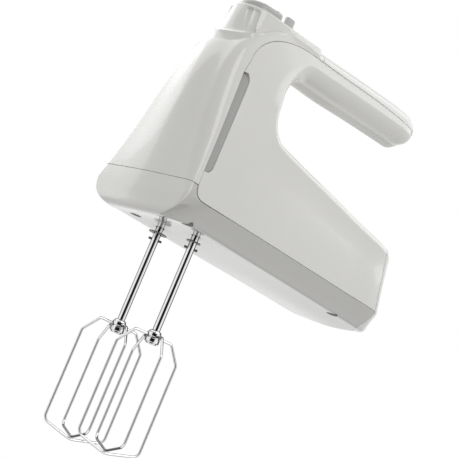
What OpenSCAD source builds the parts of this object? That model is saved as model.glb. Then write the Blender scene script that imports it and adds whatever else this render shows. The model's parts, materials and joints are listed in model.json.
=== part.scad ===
// Hand mixer with two whisks: moulded housing with an open cantilevered handle, worm-driven twin
// spindles, and beaters that slide out of their sockets.
// Frame: +Z up, beaters along -Z, nose towards -X, handle and heel towards +X.
// Origin: midway between the two spindle axes, in the plane of the flat underside.

/* [Housing] */
// Half-width of the housing at the seam between side shells and base
side_w = 43; // [40:0.5:45]
// Height of the seam between side shells and base
seam_z = 14.8; // [13:0.2:16]
// Inward lean of the side shells, millimetres per millimetre of height
lean = 0.197; // [0.18:0.001:0.2]
// Inward lean of the strip below the seam
strip_lean = 0.36; // [0.3:0.01:0.4]
// Wall thickness of the moulded shells
wall = 2.2; // [2:0.1:2.6]
// Height of the seam on top of the chin cap
chin_z = 23.3; // [23:0.1:24]
// Depth of the vent strip below the shell's surface
vent_depth = 1.2; // [0.8:0.1:1.4]

/* [Controls] */
// Travel of the eject button
eject_travel = 6; // [4:0.5:6]
// Travel of the speed slider
slider_travel = 15; // [12:1:15]

/* [Drive] */
// Distance between the two spindle axes
spindle_pitch = 34.4; // [34:0.1:35]
// Height of the motor shaft
shaft_z = 40; // [39:0.5:41]
// Teeth on each worm wheel
wheel_teeth = 26; // [26:1:26]
// Gear module
gear_module = 1; // [1:0.1:1]
// Radius of the motor shaft
shaft_r = 2.5; // [2.5:0.1:2.5]

/* [Beaters] */
// Radius of a beater's shaft
beater_r = 2.5; // [2.4:0.05:2.5]
// Depth that a beater's shaft reaches into its spindle
insert_depth = 42; // [40:1:42]
// Radius of the whisk cage, to the wire's centre line
cage_r = 22; // [21:0.5:22.5]
// Depth of the whisk's lowest point below the underside
cage_depth = 147; // [140:1:150]
// Wire diameter of the whisk cage
wire_d = 1.7; // [1.5:0.1:1.8]
// Turn of the whisk cage about its own axis
cage_phase = -18.7; // [-24:0.1:-14]

/* [Hidden] */
$fn = 48;
eps = 0.01;
y_s = spindle_pitch / 2;
white = [0.93, 0.93, 0.91];
grey = [0.62, 0.62, 0.62];
steel = [0.78, 0.79, 0.81];

// ---------- the outer form ----------
// Half-width of the housing at a point of its side view.
taper_from = 30;
taper_rate = 0.023;
function half_width(x, z) = side_w - taper_rate * max(0, x - taper_from)
    - (z > seam_z ? lean * (z - seam_z) : strip_lean * (seam_z - z));

// The form is a loft round the finger gap. Each station is a flat section across the housing:
// [inner x, inner z, outer x, outer z, inner radius, outer radius, inner crown, outer crown, width].
gap_top = [45, 104, 25]; // fillet between the handle's underside and the gap's front wall: x, z, radius
gap_low = [36, 95.5, 16.5]; // fillet between the gap's front wall and the rear deck
function on_gap(c, a) = [c[0] + c[2] * cos(a), c[1] + c[2] * sin(a)];
STATIONS = [
    [164, 144, 164, 148, 2, 2, 0, 0, 0.5],
    [162.5, 140.5, 162.5, 151.5, 5, 5, 0.5, 0.5, 0.72],
    [159, 137, 159, 155.2, 7, 7, 0.5, 1, 0.9],
    [153, 134.5, 153, 157.8, 8, 8, 0.5, 1, 1],
    [140, 134, 139, 158.7, 8, 9, 0.5, 1, 1],
    [104, 132.2, 102, 157, 8, 9, 0.5, 1, 1],
    [68, 130, 66, 154.7, 8, 9, 0.5, 1, 1],
    [each on_gap(gap_top, 90), 43, 152.5, 8, 7, 0.5, 1, 1],
    [each on_gap(gap_top, 108), 26, 151.4, 8, 5, 0.5, 0.5, 1],
    [each on_gap(gap_top, 124), 10, 149.5, 7.5, 4, 0.5, 0, 1],
    [each on_gap(gap_top, 138), -3, 145.5, 7, 4, 0.5, 0, 1],
    [each on_gap(gap_top, 151), -13, 138.5, 6, 4, 0.5, 0, 1],
    [each on_gap(gap_top, 163), -23, 131.5, 5.5, 5, 0.5, 2, 1],
    [each on_gap(gap_top, 173), -31, 122.5, 5, 7, 0.5, 3, 1],
    [each on_gap(gap_top, 180), -35.4, 112, 5, 8, 0.5, 3, 1],
    [19.7, 99.5, -38.6, 98, 5, 9, 0.5, 3, 1],
    [each on_gap(gap_low, 180), -41, 78, 5, 9, 0.5, 2.5, 1],
    [each on_gap(gap_low, 200), -42.3, 58, 5, 9, 1, 2.5, 1],
    [each on_gap(gap_low, 220), -43.4, 40, 5.5, 7.5, 1, 2.5, 1],
    [each on_gap(gap_low, 236), -44.3, 24, 6, 5, 1.5, 2.2, 1],
    [each on_gap(gap_low, 246), -44.8, 14, 6, 3.2, 2, 1.8, 1],
    [each on_gap(gap_low, 253), -44.4, 7.5, 6, 2.2, 2, 1.6, 1],
    [each on_gap(gap_low, 259), -43, 2.8, 6, 2, 2, 1.2, 1],
    [each on_gap(gap_low, 263), -40.5, -0.2, 6, 2, 2, 0.8, 1],
    [each on_gap(gap_low, 267), -36, -1.2, 6, 2.2, 2, 0.2, 1],
    [each on_gap(gap_low, 270), -22, 0, 6, 3, 2, 0, 1],
    [58, 75.9, 30, 0, 6, 2.5, 2, 0, 1],
    [92, 71.4, 80, 0, 6, 2.5, 2, 0.8, 1],
    [128, 66.2, 125, -0.2, 6, 2.5, 2, 1.5, 1],
    [161.5, 61.8, 162, -0.6, 6, 3, 2, 1.6, 1],
    [166.5, 60.2, 167, -0.6, 6, 4, 1.5, 1.7, 0.95],
    [170, 57.8, 171, 0, 5, 5, 1, 1.6, 0.88],
    [173, 54, 173.8, 1.8, 5, 6, 0.5, 1, 0.8],
    [174.5, 50.5, 174.8, 4.2, 4, 6, 0, 0, 0.74],
    [175.2, 47, 175.2, 8, 3, 5, 0, 0, 0.66],
];

// Half of a section's outline, from the inner end to the outer end: [distance out, half-width].
function half_outline(s, t, steps) =
    let (d = [s[2] - s[0], s[3] - s[1]], u = d / norm(d), len = norm(d) - 2 * t,
        a = [s[0], s[1]] + t * u, b = [s[2], s[3]] - t * u,
        wa = half_width(a[0], a[1]) * s[8] - t, wb = half_width(b[0], b[1]) * s[8] - t,
        crossing = a[1] > seam_z + 6 && b[1] < seam_z - 3,
        cut = crossing ? (a[1] - seam_z) / (a[1] - b[1]) : 0.5,
        mid = a + (b - a) * cut, wm = half_width(mid[0], mid[1]) * s[8] - t - 6 * (1 - s[8]),
        ri = max(0.6, min(s[4] - t, len * 0.45, wa * 0.8)),
        ro = max(0.6, min(s[5] - t, len * 0.45, wb * 0.8)))
    concat(
        [[-s[6], 0], [-s[6] * 0.75, (wa - ri) / 2]],
        [for (i = [0:steps]) [ri * (1 - cos(90 * i / steps)), wa - ri * (1 - sin(90 * i / steps))]],
        [[cut * len, wm]],
        [for (i = [steps:-1:0]) [len - ro * (1 - cos(90 * i / steps)), wb - ro * (1 - sin(90 * i / steps))]],
        [[len + s[7] * 0.75, (wb - ro) / 2], [len + s[7], 0]]);

// The points of the flat section at one station, set in by t.
function section(s, t, steps) =
    let (u = [s[2] - s[0], s[3] - s[1]] / norm([s[2] - s[0], s[3] - s[1]]), half = half_outline(s, t, steps),
        outline = concat(half, [for (i = [len(half) - 2:-1:1]) [half[i][0], -half[i][1]]]))
    [for (p = outline) [s[0] + (t + p[0]) * u[0], p[1], s[1] + (t + p[0]) * u[1]]];

// The loft through the stations from first to last, set in by t.
module form(t = 0, steps = 4, first = 0, last = len(STATIONS) - 1) {
    rings = [for (i = [first:last]) section(STATIONS[i], t, steps)];
    m = len(rings[0]);
    n = len(rings) - 1;
    sides = [for (i = [0:n - 1], k = [0:m - 1]) let (p = i * m + k, q = i * m + (k + 1) % m)
        each [[p, q, q + m], [p, q + m, p + m]]];
    ends = [[for (k = [m - 1:-1:0]) k], [for (k = [0:m - 1]) n * m + k]];
    polyhedron([for (r = rings) each r], concat(sides, ends));
}

module cavity() form(wall, 2, 1, len(STATIONS) - 3);

module shell_all() difference() {
    form();
    cavity();
}

// One moulding: it keeps its size and is built as a single body.
module moulding() color(white) resize([0, 0, 0]) children();

// ---------- how the form is cut into mouldings, seen from the side ----------
// Points of a curve from a to d that leaves towards b and arrives from c.
function curve(a, b, c, d, n) = [for (i = [0:n])
    let (t = i / n, u = 1 - t) u * u * u * a + 3 * u * u * t * b + 3 * u * t * t * c + t * t * t * d];

arch = concat(curve([-20.6, 114.5], [-17.7, 132.3], [3, 143.9], [31, 145.6], 10), [[46, 146.4]]);
handle_seam = [[46, 146.4], [76, 147.6], [110, 149.4], [140, 149.8], [180, 147]];
front_seam = [[-36.6, chin_z], [-35.6, 33.6], [-24, 105]];
panel_z = seam_z + 0.3;
corner_points = curve([-27, panel_z], [-33, panel_z], [-36.4, panel_z + 1], front_seam[0], 5);
panel_corner = [for (i = [0:4]) corner_points[i]];
heel_x = 161.5;
heel_seam = [[heel_x, 90], [heel_x, 13], [160.6, 8], [159, 4.5], [157, 2.6]];
// The rear edge of the base on the underside: depth behind x at a distance from the middle plane.
base_end = [for (a = [-80:20:80]) [150 + 20.5 * cos(a), 35 * sin(a)]];
// The chin's rear edge: on the flanks seen from the side, and on the underside in plan.
chin_flank = curve([-38.4, chin_z], [-39.5, 17], [-42.5, 11], [-43.4, 2], 5);
chin_lip = curve([-37, 0], [-37, 12], [-40.5, 24], [-44, 33], 6);

module side_cut(points, y0 = -60, y1 = 60)
    translate([0, y1, 0]) rotate([90, 0, 0]) linear_extrude(y1 - y0) polygon(points);

module region_front() side_cut(concat([[-60, chin_z]], front_seam, arch, [[46, 180], [-60, 180]]));
module region_cover() side_cut(concat([[46, 180]], handle_seam, [[180, 180]]));
module region_chin() {
    side_cut(concat([[-60, chin_z]], chin_flank, [[-43.4, -10], [-60, -10]]));
    translate([0, 0, -10]) linear_extrude(20)
        polygon(concat(chin_lip, [[-60, 33], [-60, -33]],
            [for (i = [6:-1:1]) [chin_lip[i][0], -chin_lip[i][1]]]));
}
module base_tongue() translate([0, 0, -10]) linear_extrude(12.6)
    polygon(concat([[100, -50]], base_end, [[100, 50]]));
module region_heel() difference() {
    side_cut(concat(heel_seam, [[157, -10], [190, -10], [190, 90]]));
    base_tongue();
}
module region_base() difference() {
    union() {
        side_cut(concat([[-60, -10], [-60, chin_z], [-36.6, chin_z]], [for (i = [4:-1:0]) panel_corner[i]],
            [[heel_x, panel_z]], [for (i = [1:4]) heel_seam[i]], [[157, -10]]));
        base_tongue();
    }
    region_chin();
}
// The vent slot between nose and side shell, in the side view.
slot_edge = [[-34, 33.2], [-29.6, 35.4], [-28.3, 38], [-17.4, 99], [-17.6, 102.5], [-20, 105.8]];
slot = concat([front_seam[1]], slot_edge, [front_seam[2]]);
module region_panel(y0, y1, edge) side_cut(concat(panel_corner, [front_seam[0], front_seam[1]], edge,
    [front_seam[2]], arch, handle_seam, [[180, 90], [heel_x, 90], [heel_x, panel_z]]), y0, y1);

// ---------- tower under the controls ----------
tower_w = 15;
rim_z = 151.9; // height of the rim over the spindles
rim_rise = 0.042; // rise of the rim per millimetre towards the handle
slope = atan(rim_rise);
tower_end = 43.5;
function rim(x) = rim_z + rim_rise * x;

module tower_plan(front, w, inset) {
    nose = 13;
    intersection() {
        union() {
            translate([front + nose, 0]) scale([1, (w - inset) / nose]) circle(nose - inset, $fn = 48);
            translate([front + nose, inset - w]) square([tower_end - inset - front - nose, 2 * (w - inset)]);
        }
        translate([-60, -30]) square([tower_end - inset + 60, 60]);
    }
}

module tower(inset = 0, low = 118, drop = 0) {
    intersection() {
        hull() {
            translate([0, 0, low]) linear_extrude(eps) tower_plan(-31.7, tower_w + 1.5, inset);
            translate([0, 0, 160]) linear_extrude(eps) tower_plan(-26.2, tower_w, inset);
        }
        side_cut([[-40, low], [-40, rim(-40) - drop], [tower_end - 2, rim(tower_end) - drop],
            [tower_end, rim(tower_end) - 1.5 - drop], [tower_end, low]]);
    }
}

lid = [-23.8, 2.2, 12.2]; // front, rear and half-width of the eject button's well
knob_x = [15, 23]; // front and rear of the speed slider at rest
slot_x = [knob_x[0] - 0.3, knob_x[1] + slider_travel + 0.3]; // the slider's slot

module lid_plan(inset) hull() {
    translate([lid[0] + 10, 0]) scale([1, (lid[2] - inset) / 10]) circle(10 - inset, $fn = 48);
    translate([lid[1] - 3, -lid[2] + 3]) circle(3 - inset, $fn = 24);
    translate([lid[1] - 3, lid[2] - 3]) circle(3 - inset, $fn = 24);
}

// Flutes on the tower's sides near the front: upper and lower centre and radius of each.
FLUTES = [[[-26.5, 9.3], [-28.2, 12.3], 2.7], [[-24.4, 14.8], [-24.6, 16], 4.2]];
module flutes() for (side = [-1, 1], f = FLUTES) hull() {
    translate([f[0][0], side * f[0][1], 148.6]) cylinder(r = f[2], h = eps);
    translate([f[1][0], side * f[1][1], 130]) cylinder(r = f[2], h = eps);
}

// ---------- housing mouldings ----------
module front_shell() moulding() difference() {
    union() {
        intersection() {
            form();
            region_front();
        }
        tower();
    }
    cavity();
    tower(wall, 100, wall);
    translate([0, 0, 100]) linear_extrude(80) lid_plan(0);
    translate([slot_x[0], -2, 100]) cube([slot_x[1] - slot_x[0], 4, 80]);
    flutes();
    side_cut([[46, 100], [46, 180], [70, 180], [70, 100]]);
    region_panel(-60, 60, []);
}

module cut_moulding() moulding() intersection() {
    shell_all();
    children();
}
module chin_cap() cut_moulding() region_chin();
module left_housing() cut_moulding() region_panel(-60, 0, slot_edge);
module right_housing() cut_moulding() region_panel(0, 60, slot_edge);
module handle_cover() cut_moulding() region_cover();

SCREWS = [[-28.5, -34.5], [-20, 21], [133.5, -31.2]];
screw_hole = 3.7;
module base_cover() moulding() difference() {
    union() {
        intersection() {
            shell_all();
            region_base();
        }
        intersection() {
            form(0.5);
            for (p = SCREWS) translate([p[0], p[1], 0]) cylinder(r = 5.5, h = 15, $fn = 24);
        }
    }
    for (side = [-1, 1]) translate([0, side * y_s, -5]) cylinder(r = 7.2, h = 20, $fn = 48);
    for (p = SCREWS) {
        translate([p[0], p[1], -5]) cylinder(r = screw_hole, h = 11, $fn = 24);
        translate([p[0], p[1], 0]) cylinder(r = 1.6, h = 20, $fn = 24);
    }
}

cord_z = 32;
module heel_cap() moulding() difference() {
    intersection() {
        shell_all();
        region_heel();
    }
    translate([160, 0, cord_z]) rotate([0, 90, 0]) cylinder(r = 6.1, h = 30);
}

module vent(y0, y1) color([0.35, 0.35, 0.35]) resize([0, 0, 0]) intersection() {
    difference() {
        form(vent_depth);
        cavity();
    }
    side_cut(slot, y0, y1);
}
module vent_left() vent(-60, 0);
module vent_right() vent(0, 60);

// ---------- controls ----------
lid_slope = 2.8;
module lid_level(z, inset)
    translate([0, 0, z]) rotate([0, -lid_slope, 0]) linear_extrude(eps) lid_plan(inset);

module eject_button() color(grey) {
    hull() {
        translate([0, 0, 145]) linear_extrude(eps) lid_plan(0.3);
        lid_level(155.5, 0.3);
        lid_level(156.6, 0.9);
        lid_level(157.5, 2.4);
        lid_level(158, 4.6);
        lid_level(158.2, 7.5);
    }
    translate([-13, -4, 78]) cube([8, 8, 67]);
}

yoke_z = 72; // underside of the ejector's crossbar
pin_tip = insert_depth + eject_travel + 0.4; // the pins stop just short of the beaters' tops
module ejector_yoke() color(grey) {
    translate([-15, -6, yoke_z]) cube([18, 12, 6]);
    translate([-4, -y_s - 3.5, yoke_z]) cube([8, spindle_pitch + 7, 5]);
    translate([-9, 0, yoke_z - 9]) cylinder(r = 2.2, h = 9.5);
    for (side = [-1, 1]) translate([0, side * y_s, pin_tip]) cylinder(r = 2.2, h = yoke_z - pin_tip + 1);
}

bracket_top = 56;
module ejector_springs() color(steel) translate([-9, 0, bracket_top + 0.5])
    helix(r = 4, wire = 0.5, turns = 5, rise = yoke_z - bracket_top - 1);

// Round wire wound into a helix, with its ends lying flat on the seats.
module helix(r, wire, turns, rise) {
    seg = 10;
    n = turns * seg;
    m = 6;
    points = [for (i = [0:n]) for (k = [0:m - 1])
        let (a = 360 * i / seg, b = 360 * k / m, rr = r + wire * cos(b))
        [rr * cos(a), rr * sin(a), rise * i / n + wire * sin(b)]];
    sides = [for (i = [0:n - 1]) for (k = [0:m - 1]) let (p = i * m + k, q = i * m + (k + 1) % m)
        each [[p, q, q + m], [p, q + m, p + m]]];
    ends = [[for (k = [m - 1:-1:0]) k], [for (k = [0:m - 1]) n * m + k]];
    polyhedron(points, concat(sides, ends));
}

shoe_z = 139.5;
// A level of the slider's fin: height above the rim, length and width.
module knob_level(up, long, wide) translate([mid_x(), 0, rim(mid_x()) + up]) rotate([0, -slope, 0])
    linear_extrude(eps) square([long, wide], center = true);
function mid_x() = (knob_x[0] + knob_x[1]) / 2;

module speed_slider() color(grey) {
    long = knob_x[1] - knob_x[0];
    hull() {
        knob_level(-8, long, 3.4);
        knob_level(10, long - 0.6, 3);
        knob_level(10.8, long - 2.2, 1.6);
    }
    translate([knob_x[0], -1.4, shoe_z + 2]) cube([long, 2.8, 5]);
    translate([knob_x[0], -5, shoe_z]) cube([long, 10, 2.4]);
}

module speed_switch() color([0.2, 0.2, 0.22]) difference() {
    translate([knob_x[0] - 2.5, -7, 131.8]) cube([knob_x[1] - knob_x[0] + slider_travel + 5, 14, 9.8]);
    translate([knob_x[0] - 1, -5.2, shoe_z - 0.2])
        cube([knob_x[1] - knob_x[0] + slider_travel + 2, 10.4, 6]);
}

// ---------- gearbox ----------
bush_r = 8;
bracket_x = 20;
module plate_holes(low, high) for (side = [-1, 1])
    translate([0, side * y_s, low]) cylinder(r = bush_r, h = high - low);

module gear_bracket() color([0.7, 0.71, 0.73]) difference() {
    union() {
        translate([-bracket_x, -29, 18]) cube([2 * bracket_x, 58, 5]);
        translate([-bracket_x, -27, 51]) cube([2 * bracket_x, 54, 5]);
        for (x = [-bracket_x, bracket_x - 4]) translate([x, -12, 18]) cube([4, 24, 38]);
    }
    plate_holes(17, 60);
    translate([-30, 0, shaft_z]) rotate([0, 90, 0]) cylinder(r = 4.5, h = 60);
    for (x = [-13, 13]) translate([x, 0, 17]) cylinder(r = 1.6, h = 8);
}

module spindle_bushes() color([0.72, 0.55, 0.28]) for (side = [-1, 1], z = [18, 51])
    translate([0, side * y_s, z]) difference() {
        cylinder(r = bush_r, h = 5);
        translate([0, 0, -1]) cylinder(r = 6.05, h = 7);
    }

bush_x = [-bracket_x, bracket_x - 4, 143];
module shaft_bushes() color([0.72, 0.55, 0.28]) for (x = bush_x)
    translate([x, 0, shaft_z]) rotate([0, 90, 0]) difference() {
        cylinder(r = 4.5, h = 4);
        translate([0, 0, -1]) cylinder(r = shaft_r + 0.05, h = 6);
    }

socket_r = beater_r + 0.05;
module spindle(side) color(steel) translate([0, side * y_s, -1.5]) difference() {
    cylinder(r = 6, h = 59.5);
    translate([0, 0, -1]) cylinder(r = socket_r, h = 70);
    translate([-3.9, -1, -1]) cube([7.8, 2, 60]);
}
module spindle_left() spindle(-1);
module spindle_right() spindle(1);

wheel_h = 9;
pitch_r = gear_module * wheel_teeth / 2;
worm_r = y_s - pitch_r; // pitch radius of the worm
worm_lead = PI * gear_module;

module worm_wheel(side) color([0.93, 0.91, 0.8]) translate([0, side * y_s, shaft_z - wheel_h / 2])
    linear_extrude(wheel_h) difference() {
        union() {
            circle(pitch_r - 1.2);
            for (i = [0:wheel_teeth - 1]) rotate((i + (side > 0 ? 0.5 : 0)) * 360 / wheel_teeth + 90)
                polygon([[pitch_r - 1.4, -0.75], [pitch_r, -0.48], [pitch_r + 0.8, -0.28],
                    [pitch_r + 0.8, 0.28], [pitch_r, 0.48], [pitch_r - 1.4, 0.75]]);
        }
        circle(6);
    }
module worm_wheel_left() worm_wheel(-1);
module worm_wheel_right() worm_wheel(1);

worm_len = 16;
// Radius of the worm's cross-section at an angle from the thread's crest.
function thread_r(a) = let (d = abs(a))
    d < 15 ? worm_r + 0.8 : d < 45 ? worm_r + 0.5 : d < 75 ? worm_r - 0.6 : 3.05;

module worm() color(steel) {
    hole = (shaft_r + 0.06) / cos(180 / 12);
    n = round(worm_len / worm_lead * 9);
    m = 12;
    points = concat(
        [for (i = [0:n], k = [0:m - 1])
            let (x = worm_len * (i / n - 0.5), a = 360 * k / m - 180, r = thread_r(a),
                b = a + 360 * x / worm_lead)
            [x, r * cos(b), r * sin(b)]],
        [for (i = [0, n], k = [0:m - 1])
            let (x = worm_len * (i / n - 0.5), b = 360 * k / m - 180 + 360 * x / worm_lead)
            [x, hole * cos(b), hole * sin(b)]]);
    inner = (n + 1) * m;
    turned = round(worm_len / worm_lead * m) % m;
    thread = [for (i = [0:n - 1], k = [0:m - 1]) let (p = i * m + k, q = i * m + (k + 1) % m)
        each [[p, p + m, q + m], [p, q + m, q]]];
    bore = [for (k = [0:m - 1])
        let (p = inner + k, q = inner + (k + 1) % m, far = inner + m,
            p2 = far + (k + m - turned) % m, q2 = far + (k + 1 + m - turned) % m)
        each [[p, q, q2], [p, q2, p2]]];
    near_end = [for (k = [0:m - 1]) let (j = (k + 1) % m)
        each [[k, j, inner + j], [k, inner + j, inner + k]]];
    far_end = [for (k = [0:m - 1]) let (j = (k + 1) % m, o = n * m, c = inner + m)
        each [[o + k, c + j, o + j], [o + k, c + k, c + j]]];
    translate([0, 0, shaft_z]) polyhedron(points, concat(thread, bore, near_end, far_end));
}

// ---------- motor ----------
core_x = [60, 90];
module on_shaft(x) translate([x, 0, shaft_z]) rotate([90, 0, 90]) children();

module motor_shaft() color(steel) on_shaft(-22) cylinder(r = shaft_r, h = 172);

core_len = core_x[1] - core_x[0];
module armature_core() color([0.5, 0.5, 0.52]) on_shaft(core_x[0]) linear_extrude(core_len) difference() {
    circle(17);
    circle(shaft_r);
    for (i = [0:11]) rotate(i * 30) union() {
        translate([15, -0.9]) square([4, 1.8]);
        translate([12, 0]) circle(2.2, $fn = 24);
    }
}

module winding_head() rotate_extrude() translate([10.3, 4]) scale([1, 0.9]) circle(4.2, $fn = 24);
module armature_windings() color([0.75, 0.4, 0.2]) {
    on_shaft(core_x[0] - 7.8) winding_head();
    on_shaft(core_x[1] - 0.2) winding_head();
    for (i = [0:11]) on_shaft(core_x[0] - 1) rotate(i * 30) translate([12, 0])
        cylinder(r = 1.9, h = core_len + 2, $fn = 24);
}

comm_x = 102;
module commutator() color([0.75, 0.45, 0.25]) on_shaft(comm_x) {
    linear_extrude(12) difference() {
        circle(9);
        circle(shaft_r);
        for (i = [0:23]) rotate(i * 15) translate([8, -0.25]) square([2, 0.5]);
    }
    translate([0, 0, -1.5]) linear_extrude(1.5) difference() {
        circle(9.8);
        circle(shaft_r);
    }
}

fan_x = 122;
module fan() color([0.25, 0.26, 0.28]) on_shaft(fan_x) {
    linear_extrude(3) difference() {
        circle(8);
        circle(shaft_r);
    }
    linear_extrude(1.5) difference() {
        circle(20);
        circle(shaft_r);
    }
    for (i = [0:8]) rotate(i * 40) translate([7.5, -0.7, 0]) rotate([0, 0, 12]) cube([14, 1.5, 9]);
}

module stator_core() color([0.45, 0.46, 0.48]) on_shaft(core_x[0]) linear_extrude(core_len) difference() {
    square([56, 50], center = true);
    circle(17.6);
    for (a = [-1, 1], b = [-1, 1]) translate([a * 16, b * 18]) square([8, 6], center = true);
}

module field_coils() color([0.72, 0.36, 0.18]) for (side = [-1, 1])
    translate([core_x[0] + core_len / 2, 0, shaft_z + side * 18 - 3]) linear_extrude(6) difference() {
        square([44, 40], center = true);
        square([core_len, 24], center = true);
    }

module rear_bracket() color([0.7, 0.71, 0.73]) difference() {
    union() {
        translate([143, -25, 12]) cube([4, 50, 46]);
        translate([136, -25, 12]) cube([8, 50, 3]);
    }
    on_shaft(140) cylinder(r = 4.5, h = 10);
    for (y = [-16, 16]) translate([139.5, y, 10]) cylinder(r = 1.6, h = 8);
}

plate_x = 116;
module brush_holders() color([0.8, 0.68, 0.36]) {
    on_shaft(plate_x) linear_extrude(2.5) difference() {
        square([54, 48], center = true);
        circle(11);
    }
    for (side = [-1, 1]) translate([plate_x - 10, side * 17 - 7, shaft_z - 4]) difference() {
        cube([10, 14, 8]);
        translate([2, -1, 1]) cube([6, 16, 6]);
    }
}
module carbon_brushes() color([0.15, 0.15, 0.15]) for (side = [-1, 1])
    translate([plate_x - 8, side * 15 - 5.8, shaft_z - 3]) cube([6, 11.6, 6]);

module terminal_block() color([0.85, 0.85, 0.8]) difference() {
    translate([149, -12, 44]) cube([10, 24, 12]);
    for (y = [-8, 0, 8]) translate([154, y, 50]) cylinder(r = 2, h = 10, $fn = 24);
}

module cord_grommet() color([0.2, 0.2, 0.2]) translate([168, 0, cord_z]) rotate([0, 90, 0]) difference() {
    union() {
        cylinder(r = 7.6, h = 4.6);
        cylinder(r = 6, h = 9);
        translate([0, 0, 7.5]) cylinder(r = 7.6, h = 2.5);
    }
    translate([0, 0, -2]) cylinder(r = 3.5, h = 20);
}

module base_screws() color(steel) for (p = SCREWS) translate([p[0], p[1], 3.5]) difference() {
    union() {
        cylinder(r = 3.3, h = 2.4, $fn = 24);
        cylinder(r = 1.55, h = 12, $fn = 24);
    }
    for (a = [0, 90]) rotate(a) translate([-2, -0.4, -1]) cube([4, 0.8, 2]);
}
module bracket_screws() color(steel) {
    for (x = [-13, 13]) translate([x, 0, 14]) union() {
        cylinder(r = 1.6, h = 9, $fn = 24);
        translate([0, 0, 9]) cylinder(r = 3, h = 2, $fn = 24);
    }
    for (y = [-16, 16]) translate([139.5, y, 7]) union() {
        cylinder(r = 1.6, h = 8, $fn = 24);
        translate([0, 0, 8]) cylinder(r = 3, h = 2, $fn = 24);
    }
}

// ---------- beaters ----------
hub_z = [-73.2, -64.4]; // lower and upper end of the hub
shaft_low = -70; // the shaft ends inside the hub
module beater(side) color(steel) translate([0, side * y_s, 0]) {
    translate([0, 0, shaft_low]) cylinder(r = beater_r, h = insert_depth - shaft_low);
    translate([0, 0, -3.7]) cylinder(r = 6, h = 1.2);
    translate([0, 0, -8.2]) rotate(-45) cube([9, 1.5, 1.5], center = true);
    translate([0, 0, 24]) cube([7.2, 1.6, 6], center = true);
}
module beater_left() beater(-1);
module beater_right() beater(1);

module hub(side) color(steel) translate([0, side * y_s, hub_z[0]]) difference() {
    union() {
        cylinder(r = 3.6, h = hub_z[1] - hub_z[0]);
        translate([0, 0, 0.8]) cylinder(r = 4.8, h = 3);
        translate([0, 0, 4.6]) cylinder(r = 4.8, h = 2.6);
        cylinder(r = 4.2, h = 8);
    }
    translate([0, 0, shaft_low - hub_z[0]]) cylinder(r = beater_r, h = 20);
}
module hub_left() hub(-1);
module hub_right() hub(1);

// Points of an arc that rounds the corner at p, between the directions of a and b.
function rounded(a, p, b, r, n) =
    let (u = (a - p) / norm(a - p), v = (b - p) / norm(b - p), half = acos(u * v) / 2,
        c = p + (u + v) / norm(u + v) * r / sin(half), s = p + u * r / tan(half), e = p + v * r / tan(half))
    [for (i = [0:n]) let (w = s + (e - s) * i / n) c + (w - c) / norm(w - c) * r];

kink_r = 13.4;
kink_z = -68.1;
shoulder_z = -79.3;
corner_z = -140.5;
// One wire's side view from the hub to the axis, for a loop whose lowest point is at z = low.
function wire_side(low) =
    let (start = [4.6, kink_z], kink = [kink_r, kink_z], top = [cage_r, shoulder_z],
        corner = [cage_r, corner_z + (low + cage_depth)], tip = [0, low])
    concat([start], rounded(start, kink, top, 2.5, 2), rounded(kink, top, corner, 3, 2),
        rounded(top, corner, tip, 5, 4));

module loop(side, turn, low) color(steel) {
    half = wire_side(low + wire_d / 2);
    n_half = len(half);
    path = concat(half, [[0, low + wire_d / 2]], [for (i = [n_half - 1:-1:0]) [-half[i][0], half[i][1]]]);
    n = len(path) - 1;
    m = 8;
    points = [for (i = [0:n]) let (a = path[max(0, i - 1)], b = path[min(n, i + 1)],
            u = (b - a) / norm(b - a), v = (path[min(n, i + 1)] - path[i]),
            stretch = (i > 0 && i < n) ? norm(v) / (v * u) : 1)
        for (k = [0:m - 1]) let (c = 360 * k / m, off = wire_d / 2 * cos(c) * stretch)
            [path[i][0] - u[1] * off, wire_d / 2 * sin(c), path[i][1] + u[0] * off]];
    sides = [for (i = [0:n - 1]) for (k = [0:m - 1]) let (p = i * m + k, q = i * m + (k + 1) % m)
        each [[p, q, q + m], [p, q + m, p + m]]];
    ends = [[for (k = [m - 1:-1:0]) k], [for (k = [0:m - 1]) n * m + k]];
    translate([0, side * y_s, 0]) rotate(cage_phase + turn) polyhedron(points, concat(sides, ends));
}
module loop_a_left() loop(-1, 0, -cage_depth);
module loop_b_left() loop(-1, 90, -cage_depth + wire_d + 0.1);
module loop_a_right() loop(1, 0, -cage_depth);
module loop_b_right() loop(1, 90, -cage_depth + wire_d + 0.1);

front_shell();
chin_cap();
left_housing();
right_housing();
handle_cover();
base_cover();
heel_cap();
vent_left();
vent_right();
eject_button();
ejector_yoke();
ejector_springs();
speed_slider();
speed_switch();
gear_bracket();
spindle_bushes();
shaft_bushes();
spindle_left();
spindle_right();
worm_wheel_left();
worm_wheel_right();
motor_shaft();
worm();
armature_core();
armature_windings();
commutator();
fan();
stator_core();
field_coils();
rear_bracket();
brush_holders();
carbon_brushes();
terminal_block();
cord_grommet();
base_screws();
bracket_screws();
beater_left();
beater_right();
hub_left();
hub_right();
loop_a_left();
loop_b_left();
loop_a_right();
loop_b_right();
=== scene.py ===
"""Looks of a hand mixer: smooth mouldings, controls, chromed beaters, light and camera.

Lengths in the shape functions are in millimetres, in the row's frame, and become metres when a mesh is made.
"""

import json
import math

import bmesh
import bpy
from mathutils import Matrix, Vector


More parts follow.
